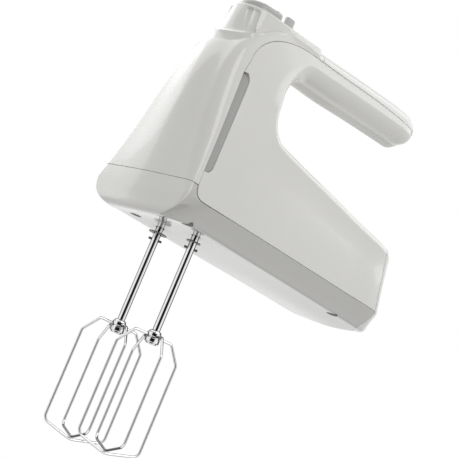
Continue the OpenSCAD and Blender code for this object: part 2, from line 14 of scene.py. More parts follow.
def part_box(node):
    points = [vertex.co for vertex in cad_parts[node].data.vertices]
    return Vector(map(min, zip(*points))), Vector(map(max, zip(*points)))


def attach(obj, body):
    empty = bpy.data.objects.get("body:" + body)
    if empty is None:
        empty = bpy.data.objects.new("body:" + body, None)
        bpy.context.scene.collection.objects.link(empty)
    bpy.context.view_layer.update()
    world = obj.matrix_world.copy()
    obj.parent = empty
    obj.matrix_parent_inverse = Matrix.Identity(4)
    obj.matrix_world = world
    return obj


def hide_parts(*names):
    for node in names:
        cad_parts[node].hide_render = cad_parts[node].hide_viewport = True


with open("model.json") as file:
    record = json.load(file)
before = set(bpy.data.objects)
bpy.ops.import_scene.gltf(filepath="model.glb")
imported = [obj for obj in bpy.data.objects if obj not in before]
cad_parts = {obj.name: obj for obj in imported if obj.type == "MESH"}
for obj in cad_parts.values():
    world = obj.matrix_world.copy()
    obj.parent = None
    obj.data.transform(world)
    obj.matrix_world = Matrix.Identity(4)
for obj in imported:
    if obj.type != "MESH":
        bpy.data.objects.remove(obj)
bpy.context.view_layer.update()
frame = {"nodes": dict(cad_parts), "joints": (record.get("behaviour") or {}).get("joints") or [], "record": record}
MM = 0.001


def low(node):
    return [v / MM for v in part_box(node)[0]]


def high(node):
    return [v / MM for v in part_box(node)[1]]


def clamp(value):
    """The value held between 0 and 1."""
    return min(1, max(0, value))


# ---------- driving dimensions, from the frame ----------
SPINDLE_R = 6  # the wider foot of the frame's spindles
PITCH = high("spindle_right")[1] - SPINDLE_R - (low("spindle_left")[1] + SPINDLE_R)  # between the axes
BEATER_Y = PITCH / 2
SIDE_W = high("base_cover")[1]  # half-width at the seam between side shells and base
PANEL_Z = low("left_housing")[2]  # lower edge of the side shells
SEAM_Z = PANEL_Z - 0.3
LEAN = 0.197  # inward lean of the side shells
STRIP_LEAN = 0.36  # inward lean of the strip below them
TAPER_FROM = 30
TAPER_RATE = 0.023
TUCK = 8.5  # the chin's lower corner comes in by this near its lowest edge
TUCK_TOP, TUCK_HEIGHT = 7.5, 8.8
TUCK_FROM, TUCK_LENGTH = -30, 13  # the tuck grows from here towards the nose
TUCK_CURVE = 1.6
WALL = 2.2
CHIN_Z = high("chin_cap")[2]
FRONT_END = high("front_shell")[0]
HEEL_X = low("heel_cap")[0] + 4.5  # joint between side shells and heel
SEAM_GAP = 0.13  # half the width of a joint line between mouldings
SHARP_ANGLE = 32


# ---------- the housing's form ----------
def half_width(x, z):
    """Half-width of the housing at a point of its side view."""
    lean = LEAN * (z - SEAM_Z) if z > SEAM_Z else STRIP_LEAN * (SEAM_Z - z)
    below = max(0, TUCK_TOP - z) / TUCK_HEIGHT
    tuck = TUCK * below**TUCK_CURVE * clamp((TUCK_FROM - x) / TUCK_LENGTH)
    return SIDE_W - TAPER_RATE * max(0, x - TAPER_FROM) - lean - tuck


def on_arc(cx, cz, r, degrees):
    a = math.radians(degrees)
    return [cx + r * math.cos(a), cz + r * math.sin(a)]


GAP_TOP = (45, 104, 25)  # fillet between the handle's underside and the gap's front wall
GAP_LOW = (36, 95.5, 16.5)  # fillet between the gap's front wall and the rear deck

# Stations of the loft round the finger gap: inner x and z, outer x and z, inner and outer corner
# radius, inner and outer crown, and how much of the full width the section has.
STATIONS = [
    [164, 144, 164, 148, 2, 2, 0, 0, 0.5],
    [162.5, 140.5, 162.5, 151.5, 5, 5, 1, 0.5, 0.72],
    [159, 137, 159, 155.2, 9, 7, 2, 1, 0.9],
    [153, 134.5, 153, 157.8, 11, 8, 3, 1, 1],
    [140, 134, 139, 158.7, 12, 9, 3.5, 1, 1],
    [104, 132.2, 102, 157, 12, 9, 3.5, 1, 1],
    [68, 130, 66, 154.7, 12, 9, 3.5, 1, 1],
    [*on_arc(*GAP_TOP, 90), 43, 152.5, 11, 7, 2.8, 1, 1],
    [*on_arc(*GAP_TOP, 108), 26, 151.4, 10, 5, 2, 0.5, 1],
    [*on_arc(*GAP_TOP, 124), 10, 149.5, 8.5, 4, 1, 0, 1],
    [*on_arc(*GAP_TOP, 138), -3, 145.5, 7, 4, 0.5, 0, 1],
    [*on_arc(*GAP_TOP, 151), -13, 138.5, 6, 4, 0.5, 0, 1],
    [*on_arc(*GAP_TOP, 163), -23, 131.5, 5.5, 5, 0.5, 2, 1],
    [*on_arc(*GAP_TOP, 173), -31, 122.5, 5, 7, 0.5, 3, 1],
    [*on_arc(*GAP_TOP, 180), -35.4, 112, 5, 8, 0.5, 3, 1],
    [19.7, 99.5, -38.6, 98, 5, 9, 0.5, 3, 1],
    [*on_arc(*GAP_LOW, 180), -41, 78, 5, 9, 0.5, 2.5, 1],
    [*on_arc(*GAP_LOW, 200), -42.3, 58, 5, 9, 1, 2.5, 1],
    [*on_arc(*GAP_LOW, 220), -43.4, 40, 5.5, 7.5, 1, 2.5, 1],
    [*on_arc(*GAP_LOW, 236), -44.3, 24, 6, 5, 1.5, 2.2, 1],
    [*on_arc(*GAP_LOW, 246), -44.8, 14, 6, 2.4, 2, 1.8, 1],
    [*on_arc(*GAP_LOW, 253), -44.9, 7.5, 6, 1.7, 2, 1.6, 1],
    [*on_arc(*GAP_LOW, 258), -45, 2.2, 6, 1.6, 2, 1.4, 1],
    [*on_arc(*GAP_LOW, 261), -44.5, 0, 6, 2, 2, 1.1, 1],
    [*on_arc(*GAP_LOW, 264), -42.6, -1.3, 6, 2, 2, 0.6, 1],
    [*on_arc(*GAP_LOW, 266), -39, -1.6, 6, 2.2, 2, 0.2, 1],
    [*on_arc(*GAP_LOW, 270), -22, 0, 6, 3, 2, 0, 1],
    [58, 75.9, 30, 0, 6, 2.5, 2, 0, 1],
    [92, 71.4, 80, 0, 6, 2.5, 2, 0.8, 1],
    [128, 66.2, 125, -0.2, 6, 2.5, 2, 1.5, 1],
    [161.5, 61.8, 162, -0.6, 6, 3, 2, 1.6, 1],
    [166.5, 60.2, 167, -0.6, 6, 4, 1.5, 1.7, 0.95],
    [170, 57.8, 171, 0, 5, 5, 1, 1.6, 0.88],
    [173, 54, 173.8, 1.8, 5, 6, 0.5, 1, 0.8],
    [174.5, 50.5, 174.8, 4.2, 4, 6, 0, 0, 0.74],
    [175.2, 47, 175.2, 8, 3, 5, 0, 0, 0.66],
]


def between(stations, steps):
    """The stations with smooth ones put in between, by cubic interpolation of every column."""
    dense = []
    last = len(stations) - 1
    for i in range(last):
        p0, p1 = stations[max(i - 1, 0)], stations[i]
        p2, p3 = stations[i + 1], stations[min(i + 2, last)]
        d0, d1, d2 = (math.dist(a[:4], b[:4]) ** 0.5 or 1 for a, b in ((p0, p1), (p1, p2), (p2, p3)))
        for k in range(steps):
            t = k / steps
            row = []
            for a, b, c, d in zip(p0, p1, p2, p3):
                mb = ((b - a) / d0 - (c - a) / (d0 + d1) + (c - b) / d1) * d1 if i > 0 else c - b
                mc = ((c - b) / d1 - (d - b) / (d1 + d2) + (d - c) / d2) * d1 if i + 2 <= last else c - b
                row.append((2 * t**3 - 3 * t**2 + 1) * b + (t**3 - 2 * t**2 + t) * mb
                           + (3 * t**2 - 2 * t**3) * c + (t**3 - t**2) * mc)
            dense.append(row)
    dense.append(stations[last])
    return dense


CROWN_STEPS = 6
# From this height down, over this many millimetres, a section's middle point moves out to the nose.
NOSE_TOP, NOSE_HEIGHT = 98, 86
SMALLEST_ROUND = 0.6
END_PINCH = 6  # extra narrowing at the middle of the handle's and heel's end sections


def corner_radius(radius, length, width):
    """A section's corner radius, held to what its length and half-width leave room for."""
    return max(SMALLEST_ROUND, min(radius, length * 0.45, width * 0.8))


def dome(k):
    """Height of a crown of height 1 at step k of its half-width."""
    return (1 - (k / CROWN_STEPS) ** 2) ** 1.5


def half_outline(station, t, arc):
    """Half of a section's outline from its inner to its outer end: (distance out, half-width)."""
    inner_r, outer_r, inner_crown, outer_crown, share = station[4:]
    a, b = Vector(station[0:2]), Vector(station[2:4])
    u = (b - a).normalized()
    length = (b - a).length - 2 * t
    wa = half_width(*a) * share - t
    wb = half_width(*b) * share - t
    a, b = a + t * u, b - t * u
    crossing = a.y > SEAM_Z + 6 and b.y < SEAM_Z - 3
    cut = (a.y - SEAM_Z) / (a.y - b.y) if crossing else 0.5 + 0.4 * clamp((NOSE_TOP - b.y) / NOSE_HEIGHT)
    cut = min(0.9, max(0.1, cut))
    wm = half_width(*a.lerp(b, cut)) * share - t - END_PINCH * (1 - share)
    ri = corner_radius(inner_r - t, length, wa)
    ro = corner_radius(outer_r - t, length, wb)
    wa -= LEAN * ri * max(0, u.y)
    wb += LEAN * ro * max(0, u.y)
    points = [(-inner_crown * dome(k), (wa - ri) * k / CROWN_STEPS) for k in range(CROWN_STEPS)]
    for k in range(arc + 1):
        c = math.radians(90 * k / arc)
        points.append((ri * (1 - math.cos(c)), wa - ri * (1 - math.sin(c))))
    inner_end, outer_end = (ri, wa), (length - ro, wb)
    middle = (cut * length, wm)
    for k in (1, 2):
        points.append(tuple(p + (q - p) * k / 3 for p, q in zip(inner_end, middle)))
    points.append(middle)
    for k in (1, 2):
        points.append(tuple(p + (q - p) * k / 3 for p, q in zip(middle, outer_end)))
    for k in range(arc, -1, -1):
        c = math.radians(90 * k / arc)
        points.append((length - ro * (1 - math.cos(c)), wb - ro * (1 - math.sin(c))))
    points += [(length + outer_crown * dome(k), (wb - ro) * k / CROWN_STEPS)
               for k in range(CROWN_STEPS - 1, -1, -1)]
    return points


def section(station, t, arc):
    """The points of the flat section at one station, set in by t."""
    a, b = Vector(station[0:2]), Vector(station[2:4])
    u = (b - a).normalized()
    half = half_outline(station, t, arc)
    outline = half + [(d, -y) for d, y in half[-2:0:-1]]
    return [(a.x + (t + d) * u.x, y, a.y + (t + d) * u.y) for d, y in outline]


# ---------- mesh tools ----------
def new_object(name, mesh):
    obj = bpy.data.objects.new(name, mesh)
    bpy.context.scene.collection.objects.link(obj)
    return obj


def from_bmesh(name, bm):
    bmesh.ops.recalc_face_normals(bm, faces=bm.faces)
    bm.transform(Matrix.Scale(MM, 4))
    mesh = bpy.data.meshes.new(name)
    bm.to_mesh(mesh)
    bm.free()
    return new_object(name, mesh)


def skin(name, rings):
    """A surface through rings of points, closed at its ends."""
    bm = bmesh.new()
    rows = [[bm.verts.new(p) for p in ring] for ring in rings]
    m = len(rows[0])
    for r1, r2 in zip(rows, rows[1:]):
        for k in range(m):
            bm.faces.new((r1[k], r1[(k + 1) % m], r2[(k + 1) % m], r2[k]))
    bm.faces.new(list(reversed(rows[0])))
    bm.faces.new(rows[-1])
    return from_bmesh(name, bm)


def prism(name, outline, y0=-60, y1=60):
    """A side view's outline, made solid from y0 to y1."""
    return skin(name, [[(x, y0, z) for x, z in outline], [(x, y1, z) for x, z in outline]])


def upright(name, plan, z0, z1):
    """An outline in plan, made solid from z0 to z1."""
    return skin(name, [[(x, y, z) for x, y in plan] for z in (z0, z1)])


def lathe(name, profile, n=48, centre=(0, 0)):
    """A closed profile of (radius, z) turned about a vertical axis. A radius of zero closes it."""
    bm = bmesh.new()
    rows = []
    for r, z in profile:
        if r == 0:
            rows.append([bm.verts.new((centre[0], centre[1], z))])
        else:
            turns = [2 * math.pi * k / n for k in range(n)]
            rows.append([bm.verts.new((centre[0] + r * math.cos(a), centre[1] + r * math.sin(a), z))
                         for a in turns])
    for r1, r2 in zip(rows, rows[1:]):
        for k in range(n):
            j = (k + 1) % n
            quad = [r1[k % len(r1)], r1[j % len(r1)], r2[j % len(r2)], r2[k % len(r2)]]
            corners = [v for i, v in enumerate(quad) if v not in quad[:i]]
            if len(corners) > 2:
                bm.faces.new(corners)
    return from_bmesh(name, bm)


def combine(obj, other, operation, keep=False):
    """obj with other cut from it, joined to it or kept in common, as a finished mesh."""
    mod = obj.modifiers.new("combine", "BOOLEAN")
    mod.operation = operation
    mod.solver = "MANIFOLD"
    mod.object = other
    bpy.context.view_layer.update()
    done = bpy.data.meshes.new_from_object(obj.evaluated_get(bpy.context.evaluated_depsgraph_get()))
    obj.modifiers.clear()
    obj.data = done
    if not keep:
        bpy.data.objects.remove(other)
    return obj


def copy(obj, name):
    return new_object(name, obj.data.copy())


def moved(obj, x=0, y=0, z=0, turn=0, axis="Z"):
    """obj turned by some degrees about an axis through the origin, then shifted."""
    rotation = Matrix.Rotation(math.radians(turn), 4, axis)
    obj.data.transform(Matrix.Translation(Vector((x, y, z)) * MM) @ rotation)
    return obj


def smooth(obj):
    """Smooth shading, except over edges that turn by more than SHARP_ANGLE."""
    obj.data.shade_smooth()
    obj.data.set_sharp_from_angle(angle=math.radians(SHARP_ANGLE))


def inset(outline, d):
    """A side-view outline moved in by d on every edge."""
    area = sum(a[0] * b[1] - b[0] * a[1] for a, b in zip(outline, outline[1:] + outline[:1]))
    d = d if area > 0 else -d
    done = []
    for i, p in enumerate(outline):
        a, p, b = Vector(outline[i - 1]), Vector(p), Vector(outline[(i + 1) % len(outline)])
        u, v = (p - a).normalized(), (b - p).normalized()
        nu, nv = Vector((-u.y, u.x)), Vector((-v.y, v.x))
        mitre = (nu + nv).normalized()
        done.append(tuple(p + mitre * d / max(0.3, mitre.dot(nu))))
    return done


# ---------- how the form is cut into mouldings ----------
def curve(a, b, c, d, n):
    """Points of a curve from a to d that leaves towards b and arrives from c."""
    a, b, c, d = Vector(a), Vector(b), Vector(c), Vector(d)
    return [tuple((1 - t) ** 3 * a + 3 * (1 - t) ** 2 * t * b + 3 * (1 - t) * t * t * c + t**3 * d)
            for t in (k / n for k in range(n + 1))]


ARCH = curve((-20.6, 114.5), (-17.7, 132.3), (3, 143.9), (31, 145.6), 24) + [(FRONT_END, 146.4)]
HANDLE_SEAM = [(FRONT_END, 146.4), (76, 147.6), (110, 149.4), (140, 149.8), (180, 147)]
FRONT_SEAM = [(-36.6, CHIN_Z), (-35.6, 33.6), (-24, 105)]
PANEL_CORNER = curve((-27, PANEL_Z), (-33, PANEL_Z), (-36.4, PANEL_Z + 1), FRONT_SEAM[0], 10)[:-1]
HEEL_SEAM = [(HEEL_X, 90), (HEEL_X, 13), (160.6, 8), (159, 4.5), (157, 2.6)]
TONGUE_TOP = 2.6
TONGUE_X, TONGUE_LONG, TONGUE_HALF = 150, 20.5, 35
CHIN_TURN = 7.8  # height at which the chin's edge leaves the flank for the front face
CHIN_FLANK = curve((-41.4, CHIN_Z), (-41.2, 16), (-41.8, 12), (-43.8, CHIN_TURN), 10)  # side view
CHIN_SHIELD = [(60, 30), (60, 8.5), (41.6, 8.5)]  # front view: the block's sides, then its round foot
CHIN_SHIELD += curve((41, 8), (38.6, 4.8), (34.5, 1), (28, -1.3), 10)
SHIELD_FOOT = 5  # below this height the joint line also runs under the shield
CHIN_LIP = curve((-37, 0), (-37, 14), (-39.5, 24), (-43.8, 28), 12) + [(-43.8, 60)]  # plan
SLOT_EDGE = [(-34, 33.2), (-31.5, 33.8), (-29.6, 35.4), (-28.3, 38), (-17.4, 99), (-17.3, 101.6),
             (-18.2, 104), (-20, 105.8)]
PANEL_REST = ARCH + HANDLE_SEAM[1:] + [(180, 90), (HEEL_X, 90), (HEEL_X, PANEL_Z)]
REGIONS = {
    "front": [(-60, CHIN_Z)] + FRONT_SEAM + ARCH + [(FRONT_END, 180), (-60, 180)],
    "cover": [(FRONT_END, 180)] + HANDLE_SEAM + [(180, 180)],
    "heel": HEEL_SEAM + [(157, -10), (190, -10), (190, 90)],
    "base": [(-60, -10), (-60, CHIN_Z), FRONT_SEAM[0]] + PANEL_CORNER[::-1] + [(HEEL_X, PANEL_Z)]
            + HEEL_SEAM[1:] + [(157, -10)],
    "panel": PANEL_CORNER + FRONT_SEAM[:2] + SLOT_EDGE + FRONT_SEAM[2:] + PANEL_REST,
    "panel_whole": PANEL_CORNER + FRONT_SEAM + PANEL_REST,
    "slot": [FRONT_SEAM[1]] + SLOT_EDGE + [FRONT_SEAM[2]],
}


def region(name, gap, y0=-60, y1=60):
    return prism("cutter", inset(REGIONS[name], gap), y0, y1)


def chin_region(gap):
    """The chin's block: back to its edge on the flanks, to its lip below, and inside its round outline."""
    flank = [(x - gap, z) for x, z in CHIN_FLANK]
    top = [(-60, CHIN_Z - gap), (flank[0][0], CHIN_Z - gap)]
    block = prism("cutter", top + flank[1:] + [(-60, CHIN_TURN)])
    lip = [(x - gap, y) for x, y in CHIN_LIP]
    plan = lip + [(-60, 60), (-60, -60)] + [(x, -y) for x, y in lip[:0:-1]]
    combine(block, upright("cutter", plan, -10, CHIN_TURN + 0.01), "UNION")
    half = [(y - gap, z + (gap if z < SHIELD_FOOT else 0)) for y, z in CHIN_SHIELD]
    half.append((CHIN_SHIELD[-1][0] - gap, -12))
    shield = upright("cutter", half + [(-y, z) for y, z in half[::-1]], -60, -20)
    shield.data.transform(Matrix(((0, 0, 1, 0), (1, 0, 0, 0), (0, 1, 0, 0), (0, 0, 0, 1))))  # lays it along X
    return combine(block, shield, "INTERSECT")


def tongue(gap):
    """The rounded end of the base under the heel."""
    turns = [math.radians(k) for k in range(-80, 81, 8)]
    end = [(TONGUE_X + (TONGUE_LONG - gap) * math.cos(a), TONGUE_HALF * math.sin(a)) for a in turns]
    return upright("cutter", [(100, -50)] + end + [(100, 50)], -10, TONGUE_TOP - gap)


def form(name, sink, stations, arc=8):
    """The loft through the stations, each set in by what sink gives for it."""
    return skin(name, [section(s, sink(s), arc) for s in stations])


BASE_SINK = 0.5
SINK_FROM, SINK_LENGTH = -12, 14


def base_sink(station):
    """The base lies a little behind the chin's lip, and comes out flush towards the beaters."""
    outer_x = station[2]
    return BASE_SINK * clamp((SINK_FROM - outer_x) / SINK_LENGTH)


dense = between(STATIONS, 5)
HOLLOW = slice(5, -10)  # stations that are hollow: the handle's tip and the heel's end are solid
whole = form("whole", lambda s: 0, dense)
cavity = form("cavity", lambda s: WALL, dense[HOLLOW], 4)
shell = combine(copy(whole, "shell"), cavity, "DIFFERENCE", keep=True)

left = combine(copy(shell, "left_shell"), region("panel", SEAM_GAP, -60, 0), "INTERSECT")
right = combine(copy(shell, "right_shell"), region("panel", SEAM_GAP, 0, 60), "INTERSECT")
cover = combine(copy(shell, "handle_top"), region("cover", SEAM_GAP), "INTERSECT")
chin = combine(copy(shell, "chin_shell"), chin_region(SEAM_GAP), "INTERSECT")
heel = combine(copy(shell, "heel_shell"), region("heel", SEAM_GAP), "INTERSECT")
combine(heel, tongue(-SEAM_GAP), "DIFFERENCE")
base = combine(form("base_shell", base_sink, dense), cavity, "DIFFERENCE", keep=True)
combine(base, combine(region("base", SEAM_GAP), tongue(SEAM_GAP), "UNION"), "INTERSECT")
combine(base, chin_region(-SEAM_GAP), "DIFFERENCE")
nose = combine(copy(whole, "nose_shell"), region("front", SEAM_GAP), "INTERSECT")

# ---------- tower under the controls ----------
TOWER_LOW, TOWER_HIGH = 118, 160
TOWER_END = 43.5
TOWER_NOSE = 13  # length of the tower's rounded front
TOWER_FRONT, TOWER_BACK = -31.7, 5.5  # the front at the foot, and how far it leans back
TOWER_HALF, TOWER_NARROWS = 16.5, 1.5
TOWER_CORNER = 4
FOOT_R, FRONT_FOOT_R = 1, 4  # fillet at the foot, and what the front adds to it
RIM_Z = 151.9
RIM_ROUND = 1
RIM_RISE = 0.042
SLOPE = math.degrees(math.atan(RIM_RISE))


def rim(x):
    """Height of the tower's rim, which rises towards the handle."""
    return RIM_Z + RIM_RISE * x


def arc_points(cx, cy, rx, ry, start, end, n):
    turns = [math.radians(start + (end - start) * k / n) for k in range(n + 1)]
    return [(cx + rx * math.cos(a), cy + ry * math.sin(a)) for a in turns]


def mirrored(upper):
    """A closed outline from its half at positive y, which starts on the middle plane."""
    return upper + [(x, -y) for x, y in upper[:0:-1]]


def tower_plan(z, d):
    """The tower's outline at a height, moved in by d."""
    f = (z - TOWER_LOW) / (TOWER_HIGH - TOWER_LOW)
    front = TOWER_FRONT + TOWER_BACK * f + TOWER_NOSE
    half = TOWER_HALF - TOWER_NARROWS * f - d
    r = TOWER_CORNER
    side = [(front + (TOWER_END - r - front) * k / 16, half) for k in range(1, 16)]
    corner = arc_points(TOWER_END - r, half - r + d, r - d, r - d, 90, 0, 6)
    return mirrored(arc_points(front, 0, TOWER_NOSE - d, half, 180, 90, 16) + side + corner)


def ground(x, y):
    """Height of the housing's upper surface."""
    hit, place, _, _ = whole.ray_cast(Vector((x, y, 200)) * MM, Vector((0, 0, -1)))
    return place.z / MM if hit else TOWER_LOW


def tower_foot(rise):
    """A ring round the tower's foot, where it flows out onto the housing: rise runs from 0 to 1."""
    flare = 1 - math.sqrt(1 - (1 - rise) ** 2)
    ring = []
    sunk = 0.6
    for (x, y), (inner_x, inner_y) in zip(tower_plan(132, 0), tower_plan(132, 1)):
        r = FOOT_R + FRONT_FOOT_R * clamp((-12 - x) / 10)
        out = r * flare
        z = ground(x, y) - sunk + (r + sunk) * rise
        ring.append((x + (x - inner_x) * out, y + (y - inner_y) * out, z))
    return ring


def tower():
    """The solid tower, from its flared foot to its rounded rim."""
    rings = [[(x, y, TOWER_LOW) for x, y, _ in tower_foot(0)]]
    rings += [tower_foot(k / 6) for k in range(6)]
    rings.append([(x, y, max(z + 1, 140)) for (x, y), (_, _, z) in zip(tower_plan(140, 0), tower_foot(1))])
    for a in (math.radians(22.5 * k) for k in range(5)):
        drop, come_in = RIM_ROUND * (1 - math.sin(a)), RIM_ROUND * (1 - math.cos(a))
        rings.append([(x, y, rim(x) - drop) for x, y in tower_plan(150 - drop, come_in)])
    return skin("tower", rings)


def tower_inside():
    floor = [(x, y, 100) for x, y in tower_plan(TOWER_LOW, WALL)]
    return skin("cutter", [floor, [(x, y, rim(x) - WALL) for x, y in tower_plan(150, WALL)]])


# Flutes in the tower's sides near the front: upper and lower centre and radius of each.
FLUTES = [((-26.5, 9.3), (-28.2, 12.3), 2.7), ((-24.4, 14.8), (-24.6, 16), 4.2)]
FLUTE_RUNOUT, FLUTE_LOW, FLUTE_HIGH, FLUTE_END = 131, 134.5, 147.9, 148.8


def flute(side, top, foot, r):
    levels = [(foot, 0.4 * r, FLUTE_RUNOUT), (foot, r, FLUTE_LOW), (top, r, FLUTE_HIGH),
              (top, 0.8 * r, FLUTE_END)]
    rings = [[(x, side * y, z) for x, y in arc_points(cx, cy, ring_r, ring_r, 0, 345, 23)]
             for (cx, cy), ring_r, z in levels]
    return skin("cutter", rings)


# ---------- the eject button's lid and the speed slider ----------
CLEARANCE = 0.3  # round the lid and the slider, in their openings
LID_FRONT, LID_REAR = low("eject_button")[0] - CLEARANCE, high("eject_button")[0] + CLEARANCE
LID_HALF = high("eject_button")[1] + CLEARANCE
LID_TILT = math.tan(math.radians(2.8))
KNOB_FRONT, KNOB_REAR = low("speed_slider")[0], high("speed_slider")[0]
KNOB_X = (KNOB_FRONT + KNOB_REAR) / 2
KNOB_TRAVEL = next(j["range_m"][1] for j in frame["joints"] if j["name"] == "speed_slide") / MM


def lid_plan(d):
    front = arc_points(LID_FRONT + 10, 0, 10 - d, LID_HALF - d, 180, 90, 16)
    rear = arc_points(LID_REAR - 3, LID_HALF - 3, 3 - d * 0.6, 3 - d * 0.6, 90, 0, 6)
    return mirrored(front + rear)


def rounded_box(name, levels, n=6):
    """Rings of a rounded rectangle: (height, half-length, half-width, corner radius)."""
    rings = []
    for z, a, b, r in levels:
        quarter = [(a - r + px, b - r + py) for px, py in arc_points(0, 0, r, r, 0, 90, n)]
        ring = quarter + [(-x, y) for x, y in quarter[::-1]]
        ring += [(-x, -y) for x, y in ring]
        rings.append([(x, y, z) for x, y in ring])
    return skin(name, rings)


combine(nose, tower(), "UNION")
combine(nose, cavity, "DIFFERENCE", keep=True)
combine(nose, tower_inside(), "DIFFERENCE")
combine(nose, upright("cutter", lid_plan(0), 100, 180), "DIFFERENCE")
slot_long = (KNOB_REAR + KNOB_TRAVEL - KNOB_FRONT) / 2 + CLEARANCE
slider_slot = rounded_box("cutter", [(100, slot_long, 2, 0.5), (180, slot_long, 2, 0.5)])
combine(nose, moved(slider_slot, KNOB_X + KNOB_TRAVEL / 2), "DIFFERENCE")
for side in (-1, 1):
    for top, foot, r in FLUTES:
        combine(nose, flute(side, top, foot, r), "DIFFERENCE")
combine(nose, region("panel_whole", -SEAM_GAP), "DIFFERENCE")

# Rings of the lid: inset, height at x = 0, and whether the ring is tilted.
LID_RINGS = [(0.35, 145, 0), (0.35, 154.8, 1), (0.45, 155.6, 1), (0.8, 156.35, 1), (1.5, 156.95, 1),
             (2.6, 157.45, 1), (4.2, 157.85, 1), (6, 158.05, 1), (8.5, 158.2, 1)]
lid = skin("eject_lid", [[(x, y, z + x * LID_TILT * tilted) for x, y in lid_plan(d)]
                         for d, z, tilted in LID_RINGS])

half_long = (KNOB_REAR - KNOB_FRONT) / 2
knob = rounded_box("slider_fin", [(-8, half_long, 1.7, 0.6), (9.7, half_long - 0.3, 1.55, 0.6),
                                  (10.2, half_long - 0.5, 1.4, 0.6), (10.6, half_long - 0.9, 1, 0.6),
                                  (10.8, half_long - 1.5, 0.6, 0.3)])
moved(knob, KNOB_X, 0, rim(KNOB_X), -SLOPE, "Y")
shoe_z = low("speed_slider")[2]
shoe = rounded_box("slider_shoe", [(shoe_z, half_long, 5, 0.8), (shoe_z + 2.4, half_long, 5, 0.8)])
moved(shoe, KNOB_X)

# ---------- vents ----------
VENT_DEPTH, VENT_REAR_DEPTH = 3.6, 0.3  # the strip slants out from its front edge to its rear one
VENT_THICK = 1.2
LINED = slice(3, -8)  # stations that the vents' hollow form runs through


def slanted(strip, side):
    """Each point of the strip moved out by how far it lies across the slot."""
    front, rear = (FRONT_SEAM[1], FRONT_SEAM[2]), (SLOT_EDGE[3], SLOT_EDGE[4])
    for v in strip.data.vertices:
        x, z = v.co.x / MM, v.co.z / MM
        x_front, x_rear = (a[0] + (b[0] - a[0]) * (z - a[1]) / (b[1] - a[1]) for a, b in (front, rear))
        across = clamp((x - x_front) / (x_rear - x_front))
        v.co.y += side * (VENT_DEPTH - VENT_REAR_DEPTH) * across * MM
    return strip


vent_form = form("vent_form", lambda s: VENT_DEPTH, dense)
combine(vent_form, form("liner", lambda s: VENT_DEPTH + VENT_THICK, dense[LINED]), "DIFFERENCE")
vents = []
for word, span, side in (("left", (-60, 0), -1), ("right", (0, 60), 1)):
    strip = combine(copy(vent_form, f"vent_strip_{word}"), region("slot", -0.05, *span), "INTERSECT")
    vents.append(slanted(strip, side))

# ---------- the shafts' holes and the screws in the base ----------
SCREWS = ((-25.6, -33.3), (-20, 21), (131.5, -30.7))
HOLE_R, HEAD_R, POST_R, SHAFT_HOLE_R, CORD_HOLE_R = 3.9, 3.3, 5.5, 3.3, 6.1
HOLE_TOP = 6  # the screws' holes end here, at the heads' seats
POST_INSET = 0.5  # the posts round the holes start this far inside the surface
HEAD_SEAT, HEAD_FACE = 5.9, 3.5


def post(r, z0, z1, at, n=32):
    return lathe("cutter", [(0, z0), (r, z0), (r, z1), (0, z1)], n, at)


def screw(name, at):
    """A pan head with a cross recess, deep in its hole."""
    head = lathe(name, [(0, HEAD_SEAT), (HEAD_R, HEAD_SEAT), (HEAD_R, 4.4), (2.6, 3.7), (1.4, HEAD_FACE),
                        (0, HEAD_FACE)], 32, at)
    for turn in (20, 110):
        blade = rounded_box("cutter", [(3, 2, 0.35, 0.1), (4.7, 2, 0.35, 0.1)])
        combine(head, moved(blade, *at, turn=turn), "DIFFERENCE")
    return head


inner_form = form("inner_form", lambda s: base_sink(s) + POST_INSET, dense)
for at in SCREWS:
    combine(base, combine(post(POST_R, -10, 15, at), inner_form, "INTERSECT", keep=True), "UNION")
    combine(base, post(HOLE_R, -5, HOLE_TOP, at), "DIFFERENCE")
for side in (-1, 1):
    combine(base, post(SHAFT_HOLE_R, -5, 20, (0, side * BEATER_Y), 48), "DIFFERENCE")
screws = [screw(f"base_screw_{i + 1}", at) for i, at in enumerate(SCREWS)]

# ---------- cord hole in the heel ----------
CORD_Z = (low("cord_grommet")[2] + high("cord_grommet")[2]) / 2
cord_hole = moved(post(CORD_HOLE_R, -20, 20, (0, 0), 40), high("heel_cap")[0], 0, CORD_Z, 90, "Y")
combine(heel, cord_hole, "DIFFERENCE")

for helper in (whole, shell, cavity, vent_form, inner_form):
    bpy.data.objects.remove(helper)

# ---------- beaters ----------
HUB_LOW, HUB_HIGH = low("hub_left")[2], high("hub_left")[2]
SHAFT_TOP = high("beater_left")[2]
SHAFT_R = 2.5
FLANGE_Z = -3.7
FLANGE_R = {"left": 4.9, "right": 6.2}
WIRE_R = 0.85
CAGE_R = 22
CAGE_LOW = low("loop_a_left")[2]
KINK_R, KINK_Z, SHOULDER_Z = 13.4, -68.1, -79.3
CORNER_RISE = 6.5  # from the cage's lowest point up to its corners
WIRE_ROOT_R = 3.9  # the wires end inside the hub
KINK_BEND, SHOULDER_BEND, CORNER_BEND, TIP_BEND = 2.5, 3.5, 5, 14
PHASE = -18.7  # turn of the cages about their own axes
SHAFT_LOW = -69.5  # inside the hub
EAR_Z, EAR_HALF, EAR_R, EAR_TURN = -8.2, 4.5, 0.8, -45
# Radius of the hub, with its two collars, and height over its lower end.
HUB_PROFILE = [(0, 0), (3.4, 0), (3.6, 0.2), (3.6, 0.8), (4.6, 0.9), (4.8, 1.2), (4.8, 3.5), (4.6, 3.8),
               (4.2, 3.9), (4.2, 4.5), (4.6, 4.6), (4.8, 4.9), (4.8, 6.9), (4.6, 7.2), (4.2, 7.3), (4.1, 7.9)]


